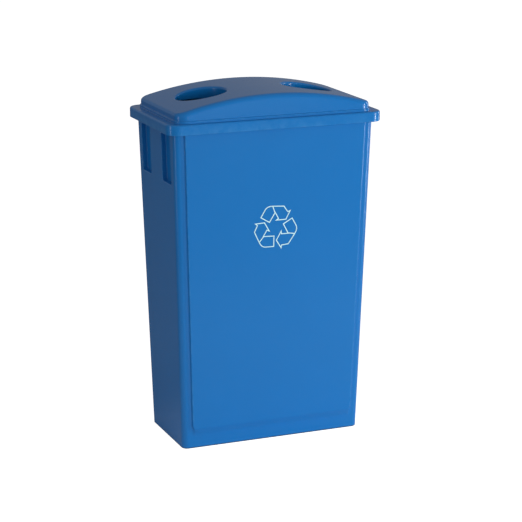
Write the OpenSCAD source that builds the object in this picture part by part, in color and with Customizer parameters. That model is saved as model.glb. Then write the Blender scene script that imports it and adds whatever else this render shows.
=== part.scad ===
// Slim rectangular recycling bin with a lift-off domed lid for bottles and cans.
//
// Frame: the origin is the centre of the footprint on the floor, +X runs along the long side,
// -Y is the front, which carries the recycling mark, and +Z is up.

/* [Body] */
// Height of the body, from the floor to the top of its rim
body_h = 762; // [600:1:1000]
// Outside width of the walls at the rim
mouth_w = 484.5; // [380:0.5:700]
// Outside depth of the walls at the rim
mouth_d = 262; // [230:0.5:400]
// How far each short wall leans in between the rim and the floor
lean_w = 22; // [5:0.5:40]
// How far each long wall leans in between the rim and the floor
lean_d = 22.5; // [5:0.5:40]
// Radius of the body's upright corners, outside
body_corner_r = 18; // [10:1:25]
// Thickness of the body's walls
wall = 3; // [2:0.5:5]
// Thickness of the body's floor
floor_t = 4; // [2:0.5:8]

/* [Rim] */
// How far the rim stands out beyond the short walls
rim_reach_w = 12; // [8:0.5:20]
// How far the rim stands out beyond the long walls
rim_reach_d = 14; // [12:0.5:20]
// Thickness of the rim's flange and of its turned-down lip
rim_t = 3; // [2:0.5:5]
// Height of the turned-down lip, with the flange
rim_drop = 17; // [8:1:20]

/* [Front and rear panels] */
// How far the panels stand out from the long walls
panel_raise = 6; // [3.5:0.5:7]
// Distance from a panel's upright edge to the body's corner
panel_margin = 25; // [20:1:60]
// Height of a panel's lower edge above the floor
panel_bottom = 40; // [20:1:150]
// Radius of a panel's lower corners
panel_corner_r = 9; // [4:1:20]

/* [Side pockets] */
// Depth of each pocket
pocket_depth = 11.5; // [5:0.5:16]
// Distance from the middle of the short wall to a pocket's near side
pocket_start = 38; // [20:1:45]
// Width of each pocket
pocket_w = 60; // [30:1:60]
// How far a pocket runs down below the top of the body
pocket_drop = 140; // [80:1:250]

/* [Lid] */
// Thickness of the lid
lid_wall = 3.5; // [2:0.5:4]
// Gap between the lid's skirt and the body's rim
lid_clearance = 1.5; // [0.5:0.25:3]
// How far the skirt hangs down below the top of the body
skirt_drop = 20; // [18:1:40]
// Radius of the skirt's upright corners, outside
skirt_corner_r = 30; // [20:1:35]
// Width of the ledge between the skirt and the dome, at the short ends
ledge_w = 21; // [18:0.5:40]
// Width of the ledge between the skirt and the dome, at the front and rear
ledge_d = 10; // [9:0.5:25]

/* [Dome] */
// Height of the dome's middle above the ledge
crown_h = 53.5; // [40:0.5:90]
// Height of the dome's short ends above the ledge
end_h = 20; // [12:0.5:30]
// Height of the plinth at the foot of the dome
plinth_h = 6; // [3:0.5:10]
// How far the dome's walls stand back from the edge of the plinth
plinth_step = 2.5; // [1:0.5:5]
// How far the front and rear of the dome lean in for each millimetre of height
dome_lean = 0.12; // [0:0.01:0.3]
// Radius of the dome's upright corners, outside
dome_corner_r = 20; // [12:1:30]

/* [Bottle holes] */
// Diameter of each hole through its lip
hole_d = 116; // [80:1:140]
// Distance between the centres of the holes
hole_spacing = 260; // [200:1:280]
// Depth of each hole's turned-in lip below the crown of the dome
lip_depth = 34; // [28:1:45]

/* [Recycling mark] */
// How far the middle of the mark lies below the top of the body
symbol_drop = 250; // [120:1:400]
// Size of the mark, from side to side
symbol_size = 106; // [60:1:180]
// Width of the mark's lines
symbol_line = 2.1; // [1.5:0.1:5]
// Thickness of the printed film
symbol_t = 0.4; // [0.2:0.1:1]

/* [Hidden] */

$fn = 96;
// More than enough to cut clean through a surface
over = 1;
// Points in a quarter of a drawn arc
arc_steps = 6;

blue = [0.13, 0.45, 0.72];
white = [0.95, 0.96, 0.97];

// Body
pocket_sill = body_h - pocket_drop;
symbol_z = body_h - symbol_drop;
base_w = mouth_w - 2 * lean_w;
base_d = mouth_d - 2 * lean_d;
lean_angle_w = atan(lean_w / body_h);
lean_angle_d = atan(lean_d / body_h);

// Rim and skirt, outside sizes
rim_w = mouth_w + 2 * rim_reach_w;
rim_d = mouth_d + 2 * rim_reach_d;
skirt_out = lid_clearance + lid_wall;
skirt_w = rim_w + 2 * skirt_out;
skirt_d = rim_d + 2 * skirt_out;
rim_corner_r = skirt_corner_r - skirt_out;

// Lid
ledge_z = body_h + lid_wall;
plinth_w = skirt_w - 2 * ledge_w;
plinth_d = skirt_d - 2 * ledge_d;
dome_w = plinth_w - 2 * plinth_step;
dome_d = plinth_d - 2 * plinth_step;
// Radius of the arch that passes through the crown and both ends of the dome
arch_r = (pow(dome_w / 2, 2) + pow(crown_h - end_h, 2)) / (2 * (crown_h - end_h));

// Width of the mark as it is drawn, before it is scaled
symbol_drawn = 110.8;

// Flat shape: a rectangle with round corners
module rounded_rect(w, d, r) {
    square([w - 2 * r, d], center = true);
    square([w, d - 2 * r], center = true);
    for (x = [-1, 1], y = [-1, 1])
        translate([x * (w / 2 - r), y * (d / 2 - r)])
            circle(r);
}

// Upright block with round corners, from z0 to z1
module rounded_block(w, d, r, z0, z1) {
    translate([0, 0, z0])
        linear_extrude(z1 - z0)
            rounded_rect(w, d, r);
}

// The leaning walls as a solid: inset is how far it stands inside the outer surface
module leaning_block(inset, z0, z1) {
    slice = 0.01;
    hull()
        for (z = [z0, z1 - slice]) {
            w = base_w + 2 * lean_w * z / body_h - 2 * inset;
            d = base_d + 2 * lean_d * z / body_h - 2 * inset;
            rounded_block(w, d, body_corner_r - inset, z, z + slice);
        }
}

// Places a drawing on the front wall: its X is the model's X, its Y runs up the wall from the
// floor, and it is extruded outwards
module on_front_wall() {
    translate([0, -base_d / 2, 0])
        rotate([90 + lean_angle_d, 0, 0])
            children();
}

// The same for the short wall on the +X side, where the drawing's X is the model's Y
module on_side_wall() {
    translate([base_w / 2, 0, 0])
        rotate([0, lean_angle_w, 0])
            rotate([90, 0, 90])
                children();
}

// Points of a quarter circle from angle a0
function quarter(x, y, r, a0) =
    [for (i = [0 : arc_steps]) [x + r * cos(a0 + 90 * i / arc_steps), y + r * sin(a0 + 90 * i / arc_steps)]];

// Outline of a raised panel: its upright edges keep the same distance from the body's corners
module panel_outline(inset, top) {
    low = panel_bottom + inset;
    r = panel_corner_r - inset;
    half_low = base_w / 2 + lean_w * low / body_h - panel_margin - inset;
    half_top = base_w / 2 + lean_w * top / body_h - panel_margin - inset;
    polygon(concat(
        [[-half_top, top]],
        quarter(r - half_low, low + r, r, 180),
        quarter(half_low - r, low + r, r, 270),
        [[half_top, top]]
    ));
}

// Side pockets: grow is how far the block stands outside the pocket's own surfaces
module side_pockets(grow, top) {
    for (end = [0, 180], side = [0, 1])
        rotate([0, 0, end])
            mirror([0, side, 0])
                on_side_wall()
                    translate([pocket_start - grow, pocket_sill - grow, -pocket_depth - grow])
                        cube([pocket_w + 2 * grow, top - pocket_sill + grow, pocket_depth + 2 * grow + over]);
}

// Everything inside the body, open at the top
module body_hollow() {
    difference() {
        union() {
            leaning_block(wall, floor_t, body_h + over);
            for (side = [0, 180])
                rotate([0, 0, side])
                    on_front_wall()
                        translate([0, 0, -2 * wall])
                            linear_extrude(panel_raise + wall)
                                panel_outline(wall, body_h + 2 * over);
        }
        side_pockets(wall, body_h + 2 * over);
    }
}

// Flange and turned-down lip round the mouth
module body_rim() {
    lip_z = body_h - rim_drop;
    rounded_block(rim_w, rim_d, rim_corner_r, body_h - rim_t, body_h);
    difference() {
        rounded_block(rim_w, rim_d, rim_corner_r, lip_z, body_h - rim_t / 2);
        rounded_block(rim_w - 2 * rim_t, rim_d - 2 * rim_t, rim_corner_r - rim_t, lip_z - over, body_h);
    }
}

module bin_body() {
    flange_z = body_h - rim_t;
    color(blue)
        difference() {
            union() {
                difference() {
                    union() {
                        leaning_block(0, 0, flange_z);
                        for (side = [0, 180])
                            rotate([0, 0, side])
                                on_front_wall()
                                    translate([0, 0, -wall / 2])
                                        linear_extrude(panel_raise + wall / 2)
                                            panel_outline(0, flange_z);
                    }
                    side_pockets(0, body_h);
                }
                body_rim();
            }
            body_hollow();
        }
}

// The dome as a solid: inset is how far it stands inside the outer surface
module dome_block(inset) {
    foot = ledge_z + plinth_h;
    top = ledge_z + crown_h;
    half = dome_d / 2 - inset;
    lean = dome_lean * (top - foot);
    intersection() {
        rounded_block(dome_w - 2 * inset, dome_d - 2 * inset, dome_corner_r - inset, body_h - over, top);
        rotate([90, 0, 90])
            linear_extrude(dome_w, center = true)
                polygon([
                    [-half, body_h - over], [half, body_h - over], [half, foot],
                    [half - lean, top], [lean - half, top], [-half, foot]
                ]);
        translate([0, 0, top - arch_r])
            rotate([90, 0, 0])
                cylinder(r = arch_r - inset, h = dome_d, center = true);
    }
}

module lid() {
    lip_z = ledge_z + crown_h - lip_depth;
    plinth_r = dome_corner_r + plinth_step;
    color(blue)
        difference() {
            union() {
                difference() {
                    union() {
                        rounded_block(skirt_w, skirt_d, skirt_corner_r, body_h - skirt_drop, ledge_z);
                        rounded_block(plinth_w, plinth_d, plinth_r, body_h, ledge_z + plinth_h);
                        dome_block(0);
                    }
                    rounded_block(rim_w + 2 * lid_clearance, rim_d + 2 * lid_clearance,
                        rim_corner_r + lid_clearance, body_h - skirt_drop - over, body_h);
                    rounded_block(plinth_w - 2 * lid_wall, plinth_d - 2 * lid_wall, plinth_r - lid_wall,
                        body_h - over, ledge_z + plinth_h - lid_wall);
                    dome_block(lid_wall);
                }
                intersection() {
                    dome_block(0);
                    for (side = [-1, 1])
                        translate([side * hole_spacing / 2, 0, lip_z])
                            cylinder(d = hole_d + 2 * lid_wall, h = crown_h);
                }
            }
            for (side = [-1, 1])
                translate([side * hole_spacing / 2, 0, body_h])
                    cylinder(d = hole_d, h = 2 * crown_h);
        }
}

// One arrow of the mark, drawn about the middle of the mark: a flat band, folded once
module arrow_outline() {
    fold = [-1.5, 34.8];
    crease = [-8.5, 53.8];
    outline = concat(
        [[-39.5, 26.5], [-15.6, 12.3], fold, [5.7, 21.9], [-1.7, 16.7], [26.9, 16.8]],
        [[39.2, 40.4], [31.2, 37.4], [21.4, 51.5], crease],
        [[-15.5, 53.6], [-21, 52], [-25, 49.4], [-28, 46]]
    );
    line = symbol_line * symbol_drawn / symbol_size;
    difference() {
        polygon(outline);
        offset(delta = -line)
            polygon(outline);
    }
    intersection() {
        polygon(outline);
        translate(fold)
            rotate(atan2(crease[1] - fold[1], crease[0] - fold[0]))
                translate([-line, -line / 2])
                    square([norm(crease - fold) + line, line]);
    }
}

module recycling_symbol() {
    slant = 1 / cos(lean_angle_d);
    color(white)
        on_front_wall()
            translate([0, symbol_z * slant, panel_raise])
                linear_extrude(symbol_t)
                    scale(symbol_size / symbol_drawn)
                        for (turn = [0, 120, 240])
                            rotate(turn)
                                arrow_outline();
}

bin_body();
lid();
recycling_symbol();
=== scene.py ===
"""Builds the finished look of a slim recycling bin around its engineering model.

The bin is two thin mouldings: an upright container with raised panels and side pockets, and a
domed lid with two round mouths. A printed mark sits on the front panel. Everything is in metres,
in the model's own frame: -Y is the front and the bin stands on Z = 0.
"""

from math import atan, cos, pi, radians, sin, tan

import bmesh
import bpy
import numpy as np
from bpy.props import FloatProperty, FloatVectorProperty, PointerProperty
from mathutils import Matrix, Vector


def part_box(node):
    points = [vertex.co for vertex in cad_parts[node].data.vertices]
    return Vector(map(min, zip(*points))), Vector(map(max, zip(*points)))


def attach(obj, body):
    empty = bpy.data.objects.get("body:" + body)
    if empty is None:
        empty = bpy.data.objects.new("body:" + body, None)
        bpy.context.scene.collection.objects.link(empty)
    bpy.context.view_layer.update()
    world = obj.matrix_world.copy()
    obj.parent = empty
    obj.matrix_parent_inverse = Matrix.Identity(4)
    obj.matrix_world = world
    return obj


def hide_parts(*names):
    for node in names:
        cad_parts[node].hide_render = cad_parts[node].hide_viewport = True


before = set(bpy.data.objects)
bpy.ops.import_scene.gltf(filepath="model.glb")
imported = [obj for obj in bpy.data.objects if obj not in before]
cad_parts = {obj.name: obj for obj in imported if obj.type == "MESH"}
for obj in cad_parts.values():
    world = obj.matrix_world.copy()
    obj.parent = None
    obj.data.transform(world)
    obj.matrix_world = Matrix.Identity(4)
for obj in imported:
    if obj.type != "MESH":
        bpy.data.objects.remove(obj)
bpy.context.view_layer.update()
_, BODY_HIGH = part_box("bin_body")
LID_LOW, LID_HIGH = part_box("lid")
MM = 0.001

bl_info = {
    "name": "Slim Recycling Bin",
    "version": (1, 0, 0),
    "blender": (4, 5, 0),
    "location": "View3D > Sidebar > Recycling Bin",
    "description": "Builds a slim recycling bin with a lift-off domed lid",
    "category": "Add Mesh",
}


# Settings

def length(name, description, default):
    """A setting that is a length in metres."""
    return FloatProperty(
        name=name, description=description, default=default, min=0.0, unit="LENGTH", precision=4
    )


def angle(name, description, degrees):
    """A setting that is an angle."""
    return FloatProperty(
        name=name, description=description, default=radians(degrees), subtype="ANGLE"
    )


def share(name, description, default):
    """A setting from 0 to 1."""
    return FloatProperty(
        name=name, description=description, default=default, min=0.0, max=1.0, subtype="FACTOR"
    )


def colour(name, description, default):
    """A setting that is a linear colour."""
    return FloatVectorProperty(
        name=name, description=description, default=default, size=3, min=0.0, max=1.0,
        subtype="COLOR",
    )


class BodySizes(bpy.types.PropertyGroup):
    """Sizes of the container"""

    height: length("Height", "From the floor to the top of the rim", BODY_HIGH.z)
    rim_reach_x: length("Rim reach, ends", "How far the rim overhangs the short walls", 12 * MM)
    rim_reach_y: length("Rim reach, sides", "How far the rim overhangs the long walls", 14 * MM)
    lean_x: length("Lean, ends", "How far each short wall leans in from rim to floor", 22 * MM)
    lean_y: length("Lean, sides", "How far each long wall leans in from rim to floor", 22.5 * MM)
    corner: length("Corner radius", "Radius of the upright corners", 14 * MM)
    wall: length("Wall", "Thickness of the walls", 3 * MM)
    floor: length("Floor", "Thickness of the floor", 4 * MM)
    floor_fillet: length("Floor fillet", "Radius between the inner floor and the walls", 6 * MM)
    foot_round: length("Foot radius", "Radius of the edge that meets the floor", 2.5 * MM)
    mouth_round: length("Mouth radius", "Radius where the rim's top turns down inside", 2 * MM)
    flange: length("Flange", "Thickness of the rim's flange and of its lip", 3 * MM)
    rim_drop: length("Rim lip", "Height of the turned-down lip", 17 * MM)
    rim_corner: length("Rim corner", "Radius of the rim's upright corners", 25 * MM)
    rim_round: length("Rim radius", "Radius of the rim's upper edge", 2.5 * MM)
    lip_round: length("Rim lip radius", "Radius of the lip's lower edges and its bend", 1.2 * MM)
    panel_raise: length("Panel raise", "How far the front and rear panels stand out", 6 * MM)
    panel_foot: length("Panel margin", "From the corner to the foot of a panel's slope", 22.4 * MM)
    panel_low: length("Panel bottom", "Height at which a panel begins to fade in", 29 * MM)
    panel_fade: length("Panel fade", "Height over which its lower edge fades in", 23 * MM)
    panel_corner: length("Panel corner", "Radius of a panel's lower corners, at its foot", 6 * MM)
    panel_slope: angle("Panel slope", "Slope of the panel's upright edges", 84)
    panel_fillet: length("Panel fillet", "Radius at the foot of a panel's slope", 3 * MM)
    panel_round: length("Panel radius", "Radius at the head of a panel's slope", 2 * MM)
    pocket_depth: length("Pocket depth", "Depth of the pockets in the short walls", 11.5 * MM)
    pocket_near: length("Pocket start", "From the wall's middle to a pocket's near side", 38 * MM)
    pocket_far: length("Pocket end", "From the wall's middle to a pocket's far side", 98 * MM)
    pocket_sill: length("Pocket sill", "Height of the pockets' lower side", 622 * MM)
    pocket_corner: length("Pocket corner", "Radius of a pocket's lower corners", 6 * MM)
    pocket_slope: angle("Pocket slope", "Slope of the pocket's sides", 84)
    pocket_round: length("Pocket radius", "Radius at the mouth of a pocket", 2 * MM)
    pocket_fillet: length("Pocket fillet", "Radius round the bottom of a pocket", 1.2 * MM)


class LidSizes(bpy.types.PropertyGroup):
    """Sizes of the lid"""

    wall: length("Wall", "Thickness of the lid", 3.5 * MM)
    skirt_corner: length("Skirt corner", "Radius of the skirt's upright corners", 30 * MM)
    skirt_edge: length("Skirt edge", "Radius of the edge between skirt and ledge", 4 * MM)
    skirt_round: length("Skirt radius", "Radius of the skirt's lower edges", 1.2 * MM)
    ledge_x: length("Ledge, ends", "Width of the ledge at the short ends", 21 * MM)
    ledge_y: length("Ledge, sides", "Width of the ledge at the front and rear", 10 * MM)
    crown: length("Crown", "Height of the middle of the dome above the ledge", 53.5 * MM)
    end: length("Dome ends", "Height of the dome's short ends above the ledge", 20 * MM)
    plinth: length("Plinth", "Height of the plinth at the foot of the dome", 6 * MM)
    plinth_step: length("Plinth step", "How far the dome stands back on the plinth", 2.5 * MM)
    plinth_round: length("Plinth radius", "Radius of the plinth's upper edge", 1.5 * MM)
    fillet: length("Fillet", "Radius of the plinth's foot and of the bends inside", 1 * MM)
    dome_fillet: length("Dome fillet", "Radius at the foot of the dome", 0.9 * MM)
    dome_corner: length("Dome corner", "Radius of the dome's upright corners", 28 * MM)
    dome_edge: length("Dome edge", "Radius between top and long walls", 11 * MM)
    dome_edge_ends: length("Dome edge, ends", "Radius between top and short walls", 5.5 * MM)
    dome_lean: share("Dome lean", "How far the front and rear lean in per unit of height", 0.12)
    hole_radius: length("Hole radius", "Radius of each mouth through its lip", 58 * MM)
    hole_centre: length("Hole centre", "From the lid's middle to the centre of a mouth", 130 * MM)
    lip_roll: length("Lip roll", "Radius where the dome rolls into a mouth", 5 * MM)
    lip_depth: length("Lip depth", "How far each lip hangs below the crown", 34 * MM)
    lip_fillet: length("Lip fillet", "Radius where a lip meets the dome's inside", 2 * MM)


class Finish(bpy.types.PropertyGroup):
    """Colours and surface of the plastic and the print"""

    blue: colour("Blue plastic", "Colour of the moulded plastic", (0.006, 0.19, 0.56))
    rubbed: colour("Rubbed plastic", "Colour where an edge is burnished", (0.05, 0.30, 0.66))
    dust: colour("Dust", "Colour of the dust that settles in corners", (0.42, 0.45, 0.48))
    # Near-black painted contact shade along the foot, as well as grime
    grime_and_shade: colour("Grime", "Colour of the grime along the foot", (0.012, 0.02, 0.035))
    ink: colour("Ink", "Colour of the printed mark", (0.68, 1.0, 1.0))
    roughness: share("Roughness", "Roughness of the clean plastic", 0.22)
    grain_depth: length("Grain depth", "Depth of the mould's fine grain", 0.03 * MM)


# Rings: each moulding is built from closed rings of stations, anticlockwise seen from above. A ring
# is worked out for one quarter, from the middle of the front to the middle of the right end.

# Steps round a small radius of a section, and round an upright corner
ARC_STEPS = 5
CORNER_STEPS = 14
# Points closer than this are welded into one
WELD = 0.02 * MM
# How much the size of its faces counts in a point's shading
SHADING_WEIGHT = 80


class Outline:
    """A rounded rectangle, centred on the origin."""

    def __init__(self, half_x, half_y, corner):
        self.half_x = half_x
        self.half_y = half_y
        self.corner = corner

    def quarter(self, along_x, along_y, inset):
        """Points and outward directions at fractions of the flats, as arrays of x, y, nx, ny."""
        flat_x = self.half_x - self.corner
        flat_y = self.half_y - self.corner
        turn = np.linspace(0, pi / 2, CORNER_STEPS + 1)[1:-1]
        nx = np.concatenate([along_x * 0, np.sin(turn), along_y * 0 + 1])
        ny = np.concatenate([along_x * 0 + 1, np.cos(turn), along_y * 0])
        x = np.concatenate([along_x * flat_x, turn * 0 + flat_x, along_y * 0 + flat_x])
        y = np.concatenate([along_x * 0 + flat_y, turn * 0 + flat_y, along_y * flat_y])
        reach = self.corner - inset
        return x + nx * reach, y + ny * reach, nx, ny


def whole(x, y, z):
    """Mirrors a quarter ring into the whole ring, as an array of points."""
    x, y, z = np.broadcast_arrays(x, y, z)
    back = slice(-2, None, -1)
    forth = slice(1, None)
    inner = slice(-2, 0, -1)
    return np.stack([
        np.concatenate([x, x[back], -x[forth], -x[inner]]),
        np.concatenate([-y, y[back], y[forth], -y[inner]]),
        np.concatenate([z, z[back], z[forth], z[inner]]),
    ], axis=-1)


def rounded(path, steps=ARC_STEPS):
    """Section path with its corners rounded.

    path holds (outline, inset, z, radius) for each corner. Insets are compared through the
    outlines' half widths, so that a path can pass from one outline to the next along a level
    stretch.
    """
    points = []
    for i, (outline, inset, z, radius) in enumerate(path):
        if radius == 0 or i in (0, len(path) - 1):
            points.append((outline, inset, z))
            continue
        here = np.array([inset, z])
        ways = []
        for other, other_inset, other_z, _ in (path[i - 1], path[i + 1]):
            there = np.array([other_inset + outline.half_x - other.half_x, other_z])
            ways.append((there - here) / np.linalg.norm(there - here))
        bend = np.arccos(np.clip(np.dot(*ways), -1, 1))
        centre = here + sum(ways) / np.linalg.norm(sum(ways)) * radius / sin(bend / 2)
        start, end = (here + way * radius / tan(bend / 2) - centre for way in ways)
        spread = pi - bend
        for t in np.linspace(0, 1, steps + 1):
            spoke = (start * sin((1 - t) * spread) + end * sin(t * spread)) / sin(spread)
            points.append((outline, *(centre + spoke)))
    return points


def strip_faces(rings, stations, first=0):
    """Quads between neighbouring closed rings."""
    faces = []
    for ring in range(rings - 1):
        low = first + ring * stations
        for s in range(stations):
            t = (s + 1) % stations
            faces.append((low + s, low + t, low + stations + t, low + stations + s))
    return faces


def new_piece(name, points, faces):
    """A smooth closed mesh object from points and faces, with its seams welded."""
    mesh = bpy.data.meshes.new(name)
    mesh.from_pydata(points.tolist(), [], faces)
    bm = bmesh.new()
    bm.from_mesh(mesh)
    bmesh.ops.remove_doubles(bm, verts=bm.verts, dist=WELD)
    loose = [e for e in bm.edges if not e.is_manifold]
    if loose:
        first = loose[0].verts[0].co
        raise RuntimeError(f"{name} isn't closed: {len(loose)} open edges, first at {first}")
    bm.to_mesh(mesh)
    bm.free()
    mesh.shade_smooth()
    piece = bpy.data.objects.new(name, mesh)
    bpy.context.scene.collection.objects.link(piece)
    mark_edges(mesh)
    weighted = piece.modifiers.new("weighted_normals", "WEIGHTED_NORMAL")
    weighted.mode = "FACE_AREA_WITH_ANGLE"
    weighted.weight = SHADING_WEIGHT
    return piece


# Curvature, per metre, at which an edge counts as exposed and a corner as sheltered
EXPOSED_CURVE = 420.0
SHELTERED_CURVE = 260.0


def read_vectors(source, name):
    """One vector of each item of a mesh's collection, as rows."""
    values = np.empty(len(source) * 3)
    source.foreach_get(name, values)
    return values.reshape(-1, 3)


def mark_edges(mesh):
    """Stores how convex and how hollow each vertex is, for the rub and dust of the materials."""
    place = read_vectors(mesh.vertices, "co")
    facing = read_vectors(mesh.vertex_normals, "vector")
    ends = np.empty(len(mesh.edges) * 2, dtype=np.int32)
    mesh.edges.foreach_get("vertices", ends)
    a, b = ends.reshape(-1, 2).T
    gap = place[b] - place[a]
    bend = ((facing[b] - facing[a]) * gap).sum(1) / np.maximum((gap ** 2).sum(1), 1e-12)
    convex = np.zeros(len(place))
    hollow = np.zeros(len(place))
    for end in (a, b):
        np.maximum.at(convex, end, bend)
        np.minimum.at(hollow, end, bend)
    marks = {"exposed": convex / EXPOSED_CURVE, "sheltered": -hollow / SHELTERED_CURVE}
    for name, value in marks.items():
        layer = mesh.attributes.new(name, "FLOAT", "POINT")
        layer.data.foreach_set("value", np.clip(value, 0, 1).astype(np.float32))


# Container

class Step:
    """A moulded step in section: level, fillet, straight slope, fillet and level again.

    Distances run across the step from its foot, moved by shift. The rise may be negative.
    """

    # How far past the step's two ends its corners are still bent
    SLACK = 0.01 * MM

    def __init__(self, rise, slope, foot_radius, head_radius, shift):
        self.rise = rise
        self.slope = slope
        self.foot_radius = foot_radius
        self.head_radius = head_radius
        self.shift = shift
        self.run = abs(rise) / tan(slope)
        self.start = shift - foot_radius * tan(slope / 2)
        self.end = shift + self.run + head_radius * tan(slope / 2)

    def knots(self):
        """Distances that follow both fillets evenly."""
        turn = np.linspace(0, self.slope, ARC_STEPS + 1)
        foot = self.start + self.foot_radius * np.sin(turn)
        head = self.end - self.head_radius * np.sin(turn[::-1])
        return np.concatenate([foot, head])

    def height(self, d):
        """Height over the distance across the step."""
        foot = np.clip(d - self.start, 0, self.foot_radius * sin(self.slope))
        head = np.clip(self.end - d, 0, self.head_radius * sin(self.slope))
        slope = np.clip(d - self.shift, 0, self.run) * tan(self.slope)
        low = self.foot_radius - np.sqrt(self.foot_radius ** 2 - foot ** 2)
        high = abs(self.rise) - self.head_radius + np.sqrt(self.head_radius ** 2 - head ** 2)
        near_foot = d < self.start + self.foot_radius * sin(self.slope)
        near_head = d > self.end - self.head_radius * sin(self.slope)
        size = np.where(near_foot, low, np.where(near_head, high, slope))
        return size * np.sign(self.rise)

    def round_plan(self, across, up, radius):
        """Bends the nested square corners of a step seen from outside into round ones."""
        level = np.minimum(across, up)
        u = radius - across
        v = radius - up
        on_step = (level > self.start - self.SLACK) & (level < self.end + self.SLACK)
        bent = (u > 0) & (v > 0) & on_step
        longer = np.maximum(np.maximum(u, v), 1e-9)
        shorter = np.minimum(u, v) / longer
        turn = np.where(u >= v, pi / 4 * shorter, pi / 2 - pi / 4 * shorter)
        return (
            np.where(bent, radius - longer * np.cos(turn), across),
            np.where(bent, radius - longer * np.sin(turn), up),
        )


class Fade:
    """Spreads a step over a longer way, as an S-curve of the same rise."""

    # Samples along the step and along the curve
    STEP_SAMPLES = 81
    CURVE_SAMPLES = 201

    def __init__(self, step, length):
        self.step_way = np.linspace(step.start, step.end, self.STEP_SAMPLES)
        t = np.linspace(0, 1, self.CURVE_SAMPLES)
        risen = step.height(self.step_way) / step.rise
        self.way = np.interp(risen, t * t * (3 - 2 * t), t) * length

    def to_step(self, way):
        """Distance across the step that has the height found at a distance along the fade."""
        beyond = np.minimum(way, 0) + np.maximum(way - self.way[-1], 0)
        return np.interp(way, self.way, self.step_way) + beyond

    def from_step(self, distance):
        """Distance along the fade that has the height found at a distance across the step."""
        short = np.minimum(distance - self.step_way[0], 0)
        over = np.maximum(distance - self.step_way[-1], 0)
        return np.interp(distance, self.step_way, self.way) + short + over


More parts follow.
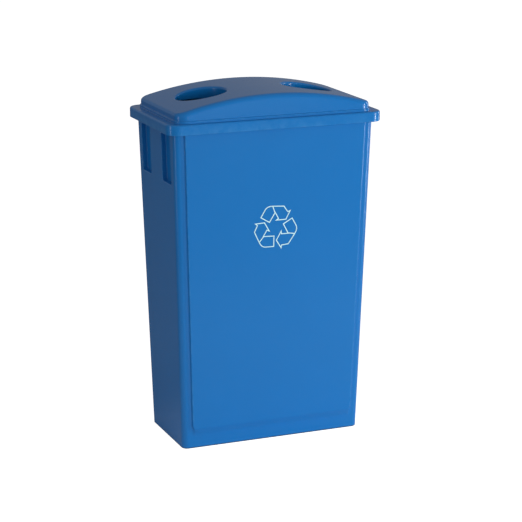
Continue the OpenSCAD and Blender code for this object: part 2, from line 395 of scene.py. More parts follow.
class Container:
    """Works out the rings of the container's walls."""

    # Stations across half of a panel, and across a pocket or the wall before it
    PANEL_STATIONS = 12
    SIDE_STATIONS = 3
    # Rows below a panel's lower edge, from there to the pockets, and up to the flange
    LOW_ROWS = 3
    MIDDLE_ROWS = 12
    HIGH_ROWS = 7
    # Smallest radius on the inner face of a bend
    TIGHT = 0.6 * MM
    # Room left free under, beyond, inside and before a pocket's own stations
    UNDER_POCKET = 4 * MM
    BEYOND_POCKET = 6 * MM
    INSIDE_POCKET = 9 * MM
    BEFORE_POCKET = 8 * MM
    # Room left free between the plain rows and the flange, and under a panel's own rows
    UNDER_FLANGE = 1.5 * MM
    UNDER_PANEL = 2 * MM
    # How far in from the rim's edge the flange's rings stop on its two faces
    FLANGE_MARGIN = 6 * MM

    def __init__(self, sizes):
        self.sizes = sizes
        self.mouth_x = BODY_HIGH.x - sizes.rim_reach_x
        self.mouth_y = BODY_HIGH.y - sizes.rim_reach_y
        self.split = sizes.pocket_sill - self.UNDER_POCKET
        self.edge = sizes.pocket_far + self.BEYOND_POCKET

    def half_x(self, z):
        """Half width of the leaning walls at a height."""
        return self.mouth_x - self.sizes.lean_x * (1 - z / self.sizes.height)

    def half_y(self, z):
        """Half depth of the leaning walls at a height."""
        return self.mouth_y - self.sizes.lean_y * (1 - z / self.sizes.height)

    def steps(self, inner):
        """The panel's and the pocket's step, on the outer or the inner face of the wall."""
        s = self.sizes
        wall = s.wall if inner else 0
        panel = Step(
            s.panel_raise, s.panel_slope, s.panel_fillet + wall,
            max(s.panel_round - wall, self.TIGHT), wall * tan(s.panel_slope / 2),
        )
        pocket = Step(
            -s.pocket_depth, s.pocket_slope, max(s.pocket_round - wall, self.TIGHT),
            s.pocket_fillet + wall, -wall * tan(s.pocket_slope / 2),
        )
        return panel, pocket

    def levels(self, inner, low):
        """Heights of the rows, from low up to just under the flange."""
        s = self.sizes
        panel, pocket = self.steps(inner)
        top = s.height - s.flange - self.UNDER_FLANGE
        fade = Fade(panel, s.panel_fade)
        lower = s.panel_low + fade.from_step(panel.knots())
        upper = s.pocket_sill + pocket.knots()
        above_corner = s.panel_low + fade.from_step(s.panel_corner)
        between = np.linspace(above_corner, self.split, self.MIDDLE_ROWS)
        above = np.linspace(s.pocket_sill + self.INSIDE_POCKET, top, self.HIGH_ROWS)
        below = np.linspace(low, lower[0] - self.UNDER_PANEL, self.LOW_ROWS)
        return np.concatenate([below, lower, between, upper, above])

    def rings(self, z, inset, inner):
        """Rings of the leaning walls with panels and pockets, for arrays of height and inset."""
        s = self.sizes
        panel, pocket = self.steps(inner)
        z = np.atleast_1d(z)[:, None]
        inset = np.broadcast_to(np.atleast_1d(inset)[:, None], z.shape)

        # Front: stations keep their distance from the corner, and the middle ones share the rest
        margin = s.panel_foot + s.panel_corner
        middle = np.linspace(0, 1, self.PANEL_STATIONS + 1) * (self.half_x(z) - margin)
        from_corner = np.concatenate([(s.panel_foot + panel.knots())[::-1], [s.corner]])
        front_x = np.concatenate([middle, self.half_x(z) - from_corner], axis=1)
        across = self.half_x(z) - front_x - s.panel_foot
        fade = Fade(panel, s.panel_fade)
        up = fade.to_step(z - s.panel_low) + across * 0
        raised = panel.height(np.minimum(across, up)) / cos(atan(s.lean_y / s.height))
        across, up = panel.round_plan(across, up, s.panel_corner)
        front_z = fade.from_step(up) + s.panel_low
        front_x = self.half_x(front_z) - s.panel_foot - across
        front_y = self.half_y(front_z) - inset + raised

        # Corner: the middle of its arc leans with the walls
        turn = np.linspace(0, pi / 2, CORNER_STEPS + 1)[None, 1:]
        reach = s.corner - inset
        corner_x = self.half_x(z) - s.corner + reach * np.sin(turn)
        corner_y = self.half_y(z) - s.corner + reach * np.cos(turn)

        # Short wall: stations follow the pocket's sides, and draw together below it
        near = s.pocket_near + pocket.knots()
        far = (s.pocket_far - pocket.knots())[::-1]
        inset_ends = s.pocket_near + self.INSIDE_POCKET, s.pocket_far - self.INSIDE_POCKET
        inside = np.linspace(*inset_ends, self.SIDE_STATIONS)
        plain = np.linspace(0, s.pocket_near - self.BEFORE_POCKET, self.SIDE_STATIONS)
        side = np.concatenate([plain, near, inside, far, [self.edge]])[::-1]
        flat = self.half_y(z) - s.corner
        flat_split = self.half_y(self.split) - s.corner
        side_y = np.where(z < self.split, side * flat / flat_split, side + flat * 0)
        pinch = np.where(z < self.split, self.edge * flat / flat_split, self.edge)
        side_y[:, :1] = pinch
        middle_y = (s.pocket_near + s.pocket_far) / 2
        nearer = side_y < middle_y
        in_from_side = np.where(nearer, side_y - s.pocket_near, s.pocket_far - side_y)
        up = z - s.pocket_sill + side_y * 0
        sunk = pocket.height(np.minimum(in_from_side, up))
        bent, up = pocket.round_plan(in_from_side, up, s.pocket_corner)
        side_z = up + s.pocket_sill
        side_y = np.where(nearer, s.pocket_near + bent, s.pocket_far - bent)
        side_x = self.half_x(side_z) - inset + sunk / cos(atan(s.lean_x / s.height))

        x = np.concatenate([front_x, corner_x, side_x], axis=1)
        y = np.concatenate([front_y, corner_y, side_y], axis=1)
        level = np.concatenate([front_z, z + corner_x * 0, side_z], axis=1)
        return [whole(*row) for row in zip(x, y, level)]

    def rim_rings(self):
        """Rings of the flange's underside, the turned-down lip and the flange's outer edge."""
        s = self.sizes
        rim = Outline(BODY_HIGH.x, BODY_HIGH.y, s.rim_corner)
        under = s.height - s.flange
        lip = s.height - s.rim_drop
        path = [
            (rim, self.FLANGE_MARGIN, under, 0),
            (rim, s.flange, under, s.lip_round),
            (rim, s.flange, lip, s.lip_round),
            (rim, 0, lip, s.lip_round),
            (rim, 0, s.height, s.rim_round),
            (rim, self.FLANGE_MARGIN, s.height, 0),
        ]
        top = self.rings(np.array([s.height]), 0, False)[0]
        quarter = (len(top) + 4) // 4
        wall_x, wall_y = top[:quarter, 0], -top[:quarter, 1]
        front = self.PANEL_STATIONS + 1 + 2 * (ARC_STEPS + 1) + 1
        along_x = wall_x[:front] / wall_x[front - 1]
        ends = wall_y[front + CORNER_STEPS - 1:]
        along_y = ends / ends[0]
        rings = []
        for outline, inset, z in rounded(path):
            x, y, _, _ = outline.quarter(along_x, along_y, inset)
            rings.append(whole(x, y, z))
        return rings


def quarter_turn(radius):
    """Drop and inset along a quarter circle, from level to upright."""
    turn = np.linspace(0, pi / 2, ARC_STEPS + 1)
    return radius * (1 - np.cos(turn)), radius * (1 - np.sin(turn))


# Height from the end of a foot's or floor's radius to the first plain row, outside and inside
FIRST_ROW = 6 * MM
FIRST_INNER_ROW = 2 * MM


def container_mesh(sizes):
    """The container: one closed skin, from its underside round the rim to its inner floor."""
    form = Container(sizes)
    s = sizes
    rise, inset = quarter_turn(s.foot_round)
    outer_z = form.levels(False, s.foot_round + FIRST_ROW)
    outer_z = np.concatenate([rise, outer_z, [s.height - s.flange]])
    outer_inset = np.concatenate([inset, np.zeros(len(outer_z) - len(inset))])
    rings = form.rings(outer_z, outer_inset, False)
    rings += form.rim_rings()

    drop, back = quarter_turn(s.mouth_round)
    rings += form.rings(s.height - drop, s.wall - back, True)
    rise, inset = quarter_turn(s.floor_fillet)
    inner_z = form.levels(True, s.floor + s.floor_fillet + FIRST_INNER_ROW)[::-1]
    floor_z = (s.floor + rise)[::-1]
    floor_inset = (s.wall + inset)[::-1]
    rings += form.rings(
        np.concatenate([inner_z, floor_z]),
        np.concatenate([inner_z * 0 + s.wall, floor_inset]),
        True,
    )
    stations = len(rings[0])
    faces = strip_faces(len(rings), stations)
    last = (len(rings) - 1) * stations
    faces.append(tuple(range(stations - 1, -1, -1)))
    faces.append(tuple(range(last, last + stations)))
    return np.concatenate(rings), faces


# Lid

class Dome:
    """Works out the rings of the lid's arched top."""

    # Stations along half of the lid's length and half of its depth
    STATIONS_X = 29
    STATIONS_Y = 15
    # Height above the dome's foot where the plain part of its walls begins
    WALL_START = 1.2 * MM

    def __init__(self, sizes):
        s = sizes
        self.sizes = s
        self.ledge = LID_HIGH.z - s.crown
        self.foot = self.ledge + s.plinth
        self.skirt = Outline(LID_HIGH.x, LID_HIGH.y, s.skirt_corner)
        self.plinth = Outline(
            LID_HIGH.x - s.ledge_x, LID_HIGH.y - s.ledge_y, s.dome_corner + s.plinth_step
        )
        self.dome = Outline(
            self.plinth.half_x - s.plinth_step, self.plinth.half_y - s.plinth_step, s.dome_corner
        )
        sag = s.crown - s.end
        self.arch = (self.dome.half_x ** 2 + sag ** 2) / (2 * sag)
        self.along_x = np.linspace(0, 1, self.STATIONS_X)
        self.along_y = np.linspace(1, 0, self.STATIONS_Y)

    def top(self, x):
        """Height of the arch over a place along the lid."""
        return LID_HIGH.z - self.arch + np.sqrt(self.arch ** 2 - x ** 2)

    def ring(self, outline, inset, z):
        """A level ring."""
        x, y, _, _ = outline.quarter(self.along_x, self.along_y, inset)
        return whole(x, y, z)

    def edge_ring(self, depth, turn):
        """A ring on the rounded edge of the dome, at an angle from upright wall to arched top.

        depth is how far the surface lies inside the outer one.
        """
        x, y, nx, ny = self.dome.quarter(self.along_x, self.along_y, depth)
        ends = self.sizes.dome_edge_ends
        radius = ends + (self.sizes.dome_edge - ends) * ny ** 2 - depth
        z = self.top(x) - depth - radius
        in_by = radius * (1 - cos(turn))
        # Lean and height follow each other, so a few rounds settle both
        for _ in range(3):
            lean = self.sizes.dome_lean * np.maximum(z - self.foot, 0) * ny ** 2
            px = x - nx * (in_by + lean)
            py = y - ny * (in_by + lean)
            z = self.top(px) - depth - radius * (1 - sin(turn))
        return whole(px, py, z)

    def wall_rings(self, depth, start, count):
        """Rings up the dome's wall, from a level start to where the rounded edge begins."""
        low = self.ring(self.dome, depth, start)
        high = self.edge_ring(depth, 0)
        return [low + (high - low) * t for t in np.linspace(0, 1, count)]


# Steps of the straight row across the middle of the dome
ACROSS_STEPS = 28
# Rings in each stretch from the dome's edge to a mouth's lip, and round the fillet behind the lip
MOUTH_RINGS = 9
FILLET_RINGS = 4
# Rings up the dome's walls and over its edge, outside and inside
WALL_RINGS = 4
EDGE_RINGS = 12
INNER_WALL_RINGS = 3
INNER_EDGE_RINGS = 6


def half_boundary(ring):
    """The right half of a whole ring, closed by a straight row of points across the middle."""
    half = len(ring) // 2 + 1
    right = ring[:half]
    t = np.linspace(0, 1, ACROSS_STEPS + 1)[1:-1, None]
    return np.concatenate([right, right[-1] * (1 - t) + right[0] * t])


def mouth_rings(dome, outer, inner):
    """Rings of one half of the dome: in to the mouth, down its lip, back up and out underneath."""
    s = dome.sizes
    centre = np.array([s.hole_centre, 0.0])
    spokes = outer[:, :2] - centre
    spokes = spokes / np.linalg.norm(spokes, axis=1)[:, None]
    lip_low = LID_HIGH.z - s.lip_depth
    half_wall = s.wall / 2

    def hung(radius, drop):
        """A ring about the mouth that hangs by drop under the arch."""
        place = centre + spokes * radius
        return np.column_stack([place, dome.top(place[:, 0]) - drop])

    def level(radius, z):
        """A level ring about the mouth."""
        place = centre + spokes * radius
        return np.column_stack([place, np.full(len(place), z)])

    def spread(start, end, depth):
        """Rings between two rings, all hung at one depth under the arch."""
        rings = []
        for t in np.linspace(0, 1, MOUTH_RINGS)[1:-1]:
            place = start[:, :2] * (1 - t) + end[:, :2] * t
            rings.append(np.column_stack([place, dome.top(place[:, 0]) - depth]))
        return rings

    rim = hung(s.hole_radius + s.lip_roll, 0)
    rings = [outer] + spread(outer, rim, 0)
    for turn in np.linspace(0, pi / 2, MOUTH_RINGS):
        out_by = s.lip_roll * (1 - sin(turn))
        rings.append(hung(s.hole_radius + out_by, s.lip_roll * (1 - cos(turn))))
    throat = level(s.hole_radius, lip_low + half_wall)
    rings += [rings[-1] * (1 - t) + throat * t for t in (0.33, 0.67)]
    for turn in np.linspace(0, pi, MOUTH_RINGS):
        out_by = half_wall * (1 - cos(turn))
        rings.append(level(s.hole_radius + out_by, lip_low + half_wall * (1 - sin(turn))))
    back = s.hole_radius + s.wall
    shoulder = hung(back, s.wall + s.lip_fillet)
    rings.append((rings[-1] + shoulder) / 2)
    for turn in np.linspace(0, pi / 2, FILLET_RINGS):
        out_by = s.lip_fillet * (1 - cos(turn))
        rings.append(hung(back + out_by, s.wall + s.lip_fillet * (1 - sin(turn))))
    return rings + spread(rings[-1], inner, s.wall) + [inner]


def lid_mesh(sizes):
    """The lid: one closed skin, from the skirt over the dome, through the mouths and back."""
    s = sizes
    dome = Dome(s)
    low = LID_LOW.z
    ledge = dome.ledge
    under = ledge - s.wall
    wall_start = dome.foot + dome.WALL_START
    outside = [
        (dome.skirt, s.wall / 2, low, 0),
        (dome.skirt, 0, low, s.skirt_round),
        (dome.skirt, 0, ledge, s.skirt_edge),
        (dome.plinth, 0, ledge, s.fillet),
        (dome.plinth, 0, dome.foot, s.plinth_round),
        (dome.dome, 0, dome.foot, s.dome_fillet),
        (dome.dome, 0, wall_start, 0),
    ]
    inside = [
        (dome.dome, s.wall, dome.foot, 0),
        (dome.dome, s.wall, dome.foot - s.wall, s.fillet),
        (dome.plinth, s.wall, dome.foot - s.wall, s.fillet),
        (dome.plinth, s.wall, under, s.fillet),
        (dome.skirt, s.wall, under, s.fillet),
        (dome.skirt, s.wall, low, s.skirt_round),
        (dome.skirt, s.wall / 2, low, 0),
    ]
    rings = [dome.ring(*place) for place in rounded(outside)]
    rings += dome.wall_rings(0, wall_start, WALL_RINGS)[1:]
    turns = np.linspace(0, pi / 2, EDGE_RINGS + 1)[1:]
    rings += [dome.edge_ring(0, turn) for turn in turns]
    turns = np.linspace(pi / 2, 0, INNER_EDGE_RINGS)
    inner = [dome.edge_ring(s.wall, turn) for turn in turns]
    inner += dome.wall_rings(s.wall, dome.foot, INNER_WALL_RINGS)[::-1][1:-1]
    inner += [dome.ring(*place) for place in rounded(inside, 2)]

    stations = len(rings[0])
    points = list(rings)
    faces = strip_faces(len(rings), stations)
    first = len(rings) * stations
    faces += strip_faces(len(inner), stations, first)
    points += inner
    first += len(inner) * stations
    patch = mouth_rings(dome, half_boundary(rings[-1]), half_boundary(inner[0]))
    for side in (1, -1):
        spokes = len(patch[0])
        new = strip_faces(len(patch), spokes, first)
        faces += new if side == 1 else [face[::-1] for face in new]
        points += [ring * (side, 1, 1) for ring in patch]
        first += len(patch) * spokes
    return np.concatenate(points), faces


# Shader groups, which put out only masks and heights that vary over the surface

def new_group(name, inputs, outputs):
    """An empty shader group with number sockets, and its input and output nodes."""
    group = bpy.data.node_groups.new(name, "ShaderNodeTree")
    for title, default in inputs:
        socket = group.interface.new_socket(title, in_out="INPUT", socket_type="NodeSocketFloat")
        socket.default_value = default
    for title in outputs:
        group.interface.new_socket(title, in_out="OUTPUT", socket_type="NodeSocketFloat")
    return group, group.nodes.new("NodeGroupInput"), group.nodes.new("NodeGroupOutput")


def calc(tree, operation, a, b=0.0, clamp=False):
    """A Math node on links or numbers; returns its result."""
    node = tree.nodes.new("ShaderNodeMath")
    node.operation = operation
    node.use_clamp = clamp
    for socket, value in zip(node.inputs, (a, b)):
        if isinstance(value, bpy.types.NodeSocket):
            tree.links.new(value, socket)
        else:
            socket.default_value = value
    return node.outputs[0]


def noise(tree, scale, detail=2.0, roughness=0.5, stretch=None):
    """Noise over the piece's own space; scale is a number per metre or a link."""
    place = tree.nodes.new("ShaderNodeTexCoord").outputs["Object"]
    if stretch:
        mapping = tree.nodes.new("ShaderNodeMapping")
        mapping.inputs["Scale"].default_value = stretch
        tree.links.new(place, mapping.inputs["Vector"])
        place = mapping.outputs["Vector"]
    node = tree.nodes.new("ShaderNodeTexNoise")
    tree.links.new(place, node.inputs["Vector"])
    node.inputs["Detail"].default_value = detail
    node.inputs["Roughness"].default_value = roughness
    if isinstance(scale, bpy.types.NodeSocket):
        tree.links.new(scale, node.inputs["Scale"])
    else:
        node.inputs["Scale"].default_value = scale
    return node.outputs["Fac"]


def ramp(tree, value, low, high):
    """Rises smoothly from 0 at low to 1 at high."""
    node = tree.nodes.new("ShaderNodeMapRange")
    node.interpolation_type = "SMOOTHSTEP"
    node.inputs["From Min"].default_value = low
    node.inputs["From Max"].default_value = high
    tree.links.new(value, node.inputs["Value"])
    return node.outputs["Result"]


def stored(tree, name):
    """A value that the mesh keeps at its vertices."""
    node = tree.nodes.new("ShaderNodeAttribute")
    node.attribute_name = name
    return node.outputs["Fac"]


def grain_group():
    """Fine grain of a spark-textured mould, and the slow drift of its gloss."""
    group, given, result = new_group(
        "Mould grain", [("Grains per metre", 1100.0), ("Drift per metre", 7.0)], ["Height", "Drift"]
    )
    fine = noise(group, given.outputs["Grains per metre"], 3.0, 0.6)
    drift = noise(group, given.outputs["Drift per metre"], 4.0, 0.55)
    group.links.new(fine, result.inputs["Height"])
    group.links.new(ramp(group, drift, 0.32, 0.68), result.inputs["Drift"])
    return group


def rub_group():
    """Burnished edges: a mask on exposed edges, broken up as handling breaks it."""
    group, given, result = new_group("Edge rub", [("Amount", 0.5)], ["Mask"])
    broken = ramp(group, noise(group, 55.0, 5.0, 0.6), 0.35, 0.7)
    edge = ramp(group, stored(group, "exposed"), 0.25, 1.0)
    worn = calc(group, "MULTIPLY", edge, broken)
    mask = calc(group, "MULTIPLY", worn, given.outputs["Amount"], clamp=True)
    group.links.new(mask, result.inputs["Mask"])
    return group


def dust_group():
    """Settled dust: in sheltered corners, and thinly on what faces up."""
    group, given, result = new_group("Settled dust", [("Corners", 0.4), ("Tops", 0.1)], ["Mask"])
    corner = ramp(group, stored(group, "sheltered"), 0.1, 1.0)
    facing = group.nodes.new("ShaderNodeSeparateXYZ")
    group.links.new(group.nodes.new("ShaderNodeNewGeometry").outputs["Normal"], facing.inputs[0])
    top = ramp(group, facing.outputs["Z"], 0.6, 1.0)
    speckle = ramp(group, noise(group, 320.0, 6.0, 0.75), 0.45, 0.75)
    cloud = ramp(group, noise(group, 16.0, 4.0, 0.6), 0.3, 0.75)
    lying = calc(group, "MULTIPLY", top, cloud)
    settled = calc(group, "MULTIPLY", lying, given.outputs["Tops"])
    caught = calc(group, "MULTIPLY", corner, given.outputs["Corners"])
    both = calc(group, "ADD", settled, caught)
    spread = calc(group, "ADD", calc(group, "MULTIPLY", speckle, 0.7), 0.3)
    group.links.new(calc(group, "MULTIPLY", both, spread, clamp=True), result.inputs["Mask"])
    return group


def scuff_group():
    """Hairline scuffs that run up and down the walls, as from being slid in and out."""
    group, given, result = new_group("Hairline scuffs", [("Amount", 0.3)], ["Mask"])
    hair = ramp(group, noise(group, 260.0, 2.0, 0.5, stretch=(1.0, 1.0, 0.03)), 0.66, 0.74)
    patch = ramp(group, noise(group, 9.0, 3.0, 0.5), 0.5, 0.72)
    scratched = calc(group, "MULTIPLY", hair, patch)
    mask = calc(group, "MULTIPLY", scratched, given.outputs["Amount"], clamp=True)
    group.links.new(mask, result.inputs["Mask"])
    return group


def grime_and_shade_group():
    """Near-black painted contact shade along the foot, where the bin meets the floor, with grime
    where the floor is swept and mopped against it.
    """
    group, given, result = new_group("Foot grime and shade", [("Height", 4 * MM), ("Amount", 0.9)], ["Mask"])
    place = group.nodes.new("ShaderNodeSeparateXYZ")
    group.links.new(group.nodes.new("ShaderNodeTexCoord").outputs["Object"], place.inputs[0])
    share_up = calc(group, "DIVIDE", place.outputs["Z"], given.outputs["Height"])
    unevenness = calc(group, "MULTIPLY", noise(group, 130.0, 4.0, 0.6), 0.6)
    clean = ramp(group, calc(group, "ADD", share_up, unevenness), 0.5, 1.4)
    dirty = calc(group, "SUBTRACT", 1.0, clean)
    mask = calc(group, "MULTIPLY", dirty, given.outputs["Amount"], clamp=True)
    group.links.new(mask, result.inputs["Mask"])
    return group


def placed(tree, group_maker, title, **values):
    """Places a shader group, made on its first use, with its own values."""
    node = tree.nodes.new("ShaderNodeGroup")
    node.node_tree = bpy.data.node_groups.get(title) or group_maker()
    for name, value in values.items():
        node.inputs[name.replace("_", " ")].default_value = value
    return node.outputs


def mixed(tree, factor, a, b):
    """A colour between two colours, which are links or plain colours."""
    node = tree.nodes.new("ShaderNodeMix")
    node.data_type = "RGBA"
    tree.links.new(factor, node.inputs["Factor"])
    for socket, value in ((node.inputs["A"], a), (node.inputs["B"], b)):
        if isinstance(value, bpy.types.NodeSocket):
            tree.links.new(value, socket)
        else:
            socket.default_value = (*value, 1.0)
    return node.outputs["Result"]


def new_material(name):
    """A node material, its tree and its Principled shader."""
    material = bpy.data.materials.new(name)
    material.use_nodes = True
    tree = material.node_tree
    shader = next(node for node in tree.nodes if node.type == "BSDF_PRINCIPLED")
    return material, tree, shader


def link_bump(tree, shader, height, distance, strength):
    """Feeds a height to the shader's normal."""
    bump = tree.nodes.new("ShaderNodeBump")
    bump.inputs["Distance"].default_value = distance
    bump.inputs["Strength"].default_value = strength
    tree.links.new(height, bump.inputs["Height"])
    tree.links.new(bump.outputs["Normal"], shader.inputs["Normal"])


def drifting(tree, drift, low, span):
    """A value that drifts over the surface, from low up to low + span."""
    result = calc(tree, "MULTIPLY_ADD", drift, span)
    result.node.inputs[2].default_value = low
    return result


def scaled(value, factor):
    """A colour made lighter or darker, kept in range."""
    return tuple(min(channel * factor, 1.0) for channel in value)


# How much dust, scuffs and the painted foot shade with its grime roughen the plastic, and how much
# rubbing smooths it
DUST_DULLS = 0.5
SCUFFS_DULL = 0.25
GRIME_AND_SHADE_DULLS = 0.6
RUB_POLISHES = 0.15


def blue_plastic(name, finish, dust_corners, dust_tops, scuffs):
    """Semi-gloss polyethylene, a little burnished on its edges and dusty in its corners."""
    material, tree, shader = new_material(name)
    grain = placed(tree, grain_group, "Mould grain", Grains_per_metre=1100.0, Drift_per_metre=7.0)
    rub = placed(tree, rub_group, "Edge rub", Amount=0.35)["Mask"]
    dust = placed(tree, dust_group, "Settled dust", Corners=dust_corners, Tops=dust_tops)["Mask"]
    scuff = placed(tree, scuff_group, "Hairline scuffs", Amount=scuffs)["Mask"]
    grime_and_shade = placed(tree, grime_and_shade_group, "Foot grime and shade", Height=4 * MM, Amount=0.9)["Mask"]

    base = mixed(tree, grain["Drift"], scaled(finish.blue, 0.99), scaled(finish.blue, 1.01))
    base = mixed(tree, rub, base, finish.rubbed)
    base = mixed(tree, scuff, base, finish.rubbed)
    base = mixed(tree, dust, base, finish.dust)
    # Painted contact shade: the foot mask darkens the plastic to near-black just above the floor,
    # with grime
    base = mixed(tree, grime_and_shade, base, finish.grime_and_shade)
    tree.links.new(base, shader.inputs["Base Color"])

    rough = drifting(tree, grain["Drift"], finish.roughness - 0.01, 0.02)
    for mask, amount in ((dust, DUST_DULLS), (scuff, SCUFFS_DULL), (grime_and_shade, GRIME_AND_SHADE_DULLS)):
        rough = calc(tree, "ADD", rough, calc(tree, "MULTIPLY", mask, amount))
    smoothed = calc(tree, "MULTIPLY", rub, RUB_POLISHES)
    polished = calc(tree, "SUBTRACT", rough, smoothed, clamp=True)
    tree.links.new(polished, shader.inputs["Roughness"])
    shader.inputs["IOR"].default_value = 1.5
    link_bump(tree, shader, grain["Height"], finish.grain_depth, 0.6)
    return material


def white_ink(name, finish):
    """Opaque transfer print, with the blue showing faintly where the ink is thin."""
    material, tree, shader = new_material(name)
    grain = placed(tree, grain_group, "Mould grain", Grains_per_metre=1600.0, Drift_per_metre=60.0)
    dust = placed(tree, dust_group, "Settled dust", Corners=0.0, Tops=0.05)["Mask"]
    thin = ramp(tree, noise(tree, 900.0, 4.0, 0.7), 0.66, 0.8)
    base = mixed(tree, grain["Drift"], scaled(finish.ink, 0.97), finish.ink)
    base = mixed(tree, calc(tree, "MULTIPLY", thin, 0.2), base, finish.blue)
    base = mixed(tree, dust, base, finish.dust)
    tree.links.new(base, shader.inputs["Base Color"])
    tree.links.new(drifting(tree, grain["Drift"], 0.4, 0.08), shader.inputs["Roughness"])
    link_bump(tree, shader, grain["Height"], finish.grain_depth, 0.4)
    return material


# Stage: a pale floor that carries on into a pale surround, soft lights and the camera

# Turn and tilt in degrees, lens in millimetres
CAMERA_TURN = -22.148
CAMERA_TILT = 14.376
CAMERA_DISTANCE = 4.47927
CAMERA_TARGET = Vector((0.017026, 0, 0.40058))
CAMERA_LENS = 131.41
# What every light faces
LIGHT_TARGET = Vector((0, 0, 0.45))


def towards(turn, tilt):
    """Direction from the bin: a turn to the right of straight ahead and a tilt up, in degrees."""
    turn, tilt = radians(turn), radians(tilt)
    return Vector((sin(turn) * cos(tilt), -cos(turn) * cos(tilt), sin(tilt)))


def add_camera():
    """The camera looks down at the front and the left end."""
    data = bpy.data.cameras.new("camera")
    data.lens = CAMERA_LENS
    camera = bpy.data.objects.new("camera", data)
    back = towards(CAMERA_TURN, CAMERA_TILT)
    camera.location = CAMERA_TARGET + back * CAMERA_DISTANCE
    camera.rotation_euler = (-back).to_track_quat("-Z", "Y").to_euler()
    bpy.context.scene.collection.objects.link(camera)
    bpy.context.scene.camera = camera


def add_softbox(name, turn, tilt, distance, width, height, power, mirrored=True):
    """A soft light that faces the bin's middle; mirrored says whether its gloss shows it."""
    data = bpy.data.lights.new(name, "AREA")
    data.shape = "RECTANGLE"
    data.size = width
    data.size_y = height
    data.energy = power
    light = bpy.data.objects.new(name, data)
    way = towards(turn, tilt)
    light.location = LIGHT_TARGET + way * distance
    light.rotation_euler = way.to_track_quat("Z", "Y").to_euler()
    light.visible_glossy = mirrored
    light.visible_camera = False
    bpy.context.scene.collection.objects.link(light)


def add_surround():
    """A pale surround, which lights the bin more dimly than it shows."""
    world = bpy.data.worlds.new("surround")
    bpy.context.scene.world = world
    world.use_nodes = True
    tree = world.node_tree
    tree.nodes.clear()
    path = tree.nodes.new("ShaderNodeLightPath")
    seen = tree.nodes.new("ShaderNodeBackground")
    seen.inputs["Color"].default_value = (1, 1, 1, 1)
    lit = tree.nodes.new("ShaderNodeBackground")
    lit.inputs["Color"].default_value = (0.265, 0.27, 0.28, 1)
    pick = tree.nodes.new("ShaderNodeMixShader")
    out = tree.nodes.new("ShaderNodeOutputWorld")
    tree.links.new(path.outputs["Is Camera Ray"], pick.inputs["Fac"])
    tree.links.new(lit.outputs[0], pick.inputs[1])
    tree.links.new(seen.outputs[0], pick.inputs[2])
    tree.links.new(pick.outputs[0], out.inputs["Surface"])


FLOOR_HALF = 12.0
# The floor's colour paints a pool of light: pale close in front of the bin, darkening between these
# distances from it
FLOOR_NEAR, FLOOR_FAR = 0.8, 2.0
# and between these places along Y
FLOOR_FRONT, FLOOR_REAR = -0.1, 0.3
# Light that the floor adds for the camera alone
FLOOR_LIFT = 0.95


def add_floor():
    """A wide pale floor, lifted to near white for the camera."""
    corners = [(x * FLOOR_HALF, y * FLOOR_HALF, 0) for x, y in ((-1, -1), (1, -1), (1, 1), (-1, 1))]
    mesh = bpy.data.meshes.new("floor")
    mesh.from_pydata(corners, [], [(0, 1, 2, 3)])
    floor = bpy.data.objects.new("floor", mesh)
    bpy.context.scene.collection.objects.link(floor)
    material, tree, shader = new_material("pale_floor")
    grain = placed(tree, grain_group, "Mould grain", Grains_per_metre=300.0, Drift_per_metre=2.0)
    place = tree.nodes.new("ShaderNodeTexCoord").outputs["Object"]
    reach = tree.nodes.new("ShaderNodeVectorMath")
    reach.operation = "LENGTH"
    tree.links.new(place, reach.inputs[0])
    axes = tree.nodes.new("ShaderNodeSeparateXYZ")
    tree.links.new(place, axes.inputs[0])
    near = calc(tree, "SUBTRACT", 1.0, ramp(tree, reach.outputs["Value"], FLOOR_NEAR, FLOOR_FAR))
    ahead = calc(tree, "SUBTRACT", 1.0, ramp(tree, axes.outputs["Y"], FLOOR_FRONT, FLOOR_REAR))
    # Painted pool of light: the floor is pale near and in front of the bin and dark grey farther
    # off and behind, for the light it throws back onto the bin
    pale = mixed(tree, grain["Drift"], (0.86, 0.86, 0.86), (0.9, 0.9, 0.9))
    base = mixed(tree, calc(tree, "MULTIPLY", near, ahead), (0.4, 0.4, 0.4), pale)
    tree.links.new(base, shader.inputs["Base Color"])
    shader.inputs["Roughness"].default_value = 0.9
    shader.inputs["Specular IOR Level"].default_value = 0.0
    lift = tree.nodes.new("ShaderNodeEmission")
    lift.inputs["Color"].default_value = (1, 1, 1, 1)
    lift.inputs["Strength"].default_value = FLOOR_LIFT
    path = tree.nodes.new("ShaderNodeLightPath")
    gate = tree.nodes.new("ShaderNodeMixShader")
    both = tree.nodes.new("ShaderNodeAddShader")
    out = next(node for node in tree.nodes if node.type == "OUTPUT_MATERIAL")
    tree.links.new(path.outputs["Is Camera Ray"], gate.inputs["Fac"])
    tree.links.new(lift.outputs[0], gate.inputs[2])
    tree.links.new(shader.outputs[0], both.inputs[0])
    tree.links.new(gate.outputs[0], both.inputs[1])
    tree.links.new(both.outputs[0], out.inputs["Surface"])
    mesh.materials.append(material)


# Operators

class BIN_OT_container(bpy.types.Operator):
    """Build the container"""

    bl_idname = "recycling_bin.container"
    bl_label = "Container"

    def execute(self, context):
        """Builds the container and puts it in place of its plain node."""
        shell = new_piece("bin_shell", *container_mesh(context.scene.bin_body_sizes))
        finish = context.scene.bin_finish
        plastic = blue_plastic(
            "blue_container", finish, dust_corners=0.04, dust_tops=0.03, scuffs=0.06
        )
        shell.data.materials.append(plastic)
        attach(shell, "bin")
        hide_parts("bin_body")
        return {"FINISHED"}


class BIN_OT_lid(bpy.types.Operator):
    """Build the lid"""

    bl_idname = "recycling_bin.lid"
    bl_label = "Lid"

    def execute(self, context):
        """Builds the lid and puts it in place of its plain node."""
        shell = new_piece("lid_shell", *lid_mesh(context.scene.bin_lid_sizes))
        finish = context.scene.bin_finish
        plastic = blue_plastic("blue_lid", finish, dust_corners=0.04, dust_tops=0.03, scuffs=0.05)
        shell.data.materials.append(plastic)
        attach(shell, "lid")
        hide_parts("lid")
        return {"FINISHED"}


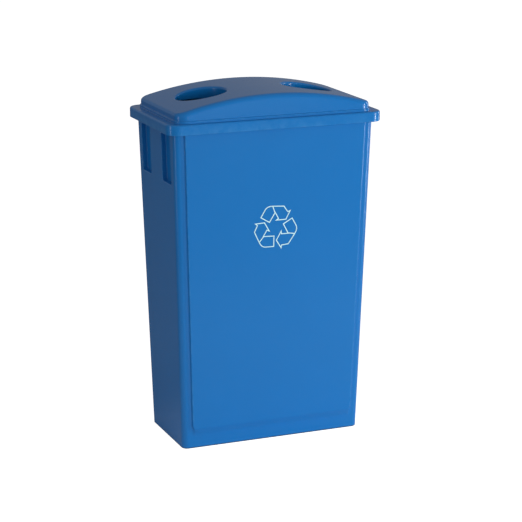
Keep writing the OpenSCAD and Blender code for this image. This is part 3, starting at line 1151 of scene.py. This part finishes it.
class BIN_OT_mark(bpy.types.Operator):
    """Finish the printed recycling mark"""

    bl_idname = "recycling_bin.mark"
    bl_label = "Recycling mark"

    def execute(self, context):
        """Gives the mark its ink."""
        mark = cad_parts["recycling_symbol"]
        ink = white_ink("white_ink", context.scene.bin_finish)
        mark.data.materials.clear()
        mark.data.materials.append(ink)
        return {"FINISHED"}


class BIN_OT_stage(bpy.types.Operator):
    """Set up the floor, the lights and the camera"""

    bl_idname = "recycling_bin.stage"
    bl_label = "Stage"

    def execute(self, context):
        """Builds the stage."""
        context.scene.view_settings.view_transform = "Standard"
        add_floor()
        add_surround()
        add_softbox("key_softbox", turn=58, tilt=0, distance=2.4, width=0.26, height=1.7, power=24)
        add_softbox(
            "front_fill", turn=10, tilt=9, distance=5.0, width=2.4, height=1.6, power=100,
            mirrored=False,
        )
        add_softbox("right_strip", turn=102, tilt=6, distance=2.2, width=0.2, height=1.6, power=5)
        add_softbox("left_strip", turn=-83, tilt=4, distance=2.2, width=0.15, height=1.6, power=4)
        add_camera()
        return {"FINISHED"}


class BIN_PT_panel(bpy.types.Panel):
    """Lists the steps that build the bin"""

    bl_idname = "BIN_PT_panel"
    bl_label = "Recycling Bin"
    bl_space_type = "VIEW_3D"
    bl_region_type = "UI"
    bl_category = "Recycling Bin"

    def draw(self, context):
        """Draws one button for each operator, and the settings."""
        layout = self.layout
        for operator in OPERATORS:
            layout.operator(operator.bl_idname)
        for title, kind in GROUPS.items():
            box = layout.box()
            for name in kind.__annotations__:
                box.prop(getattr(context.scene, title), name)


OPERATORS = (BIN_OT_container, BIN_OT_lid, BIN_OT_mark, BIN_OT_stage)
GROUPS = {"bin_body_sizes": BodySizes, "bin_lid_sizes": LidSizes, "bin_finish": Finish}
CLASSES = (*GROUPS.values(), *OPERATORS, BIN_PT_panel)


def register():
    """Registers the classes and hangs the settings on the scene."""
    for cls in CLASSES:
        bpy.utils.register_class(cls)
    for name, group in GROUPS.items():
        setattr(bpy.types.Scene, name, PointerProperty(type=group))


def unregister():
    """Undoes register."""
    for name in GROUPS:
        delattr(bpy.types.Scene, name)
    for cls in reversed(CLASSES):
        bpy.utils.unregister_class(cls)


def main():
    """Builds everything in order."""
    register()
    for operator in OPERATORS:
        group, name = operator.bl_idname.split(".")
        getattr(getattr(bpy.ops, group), name)()


if __name__ == "__main__":
    main()
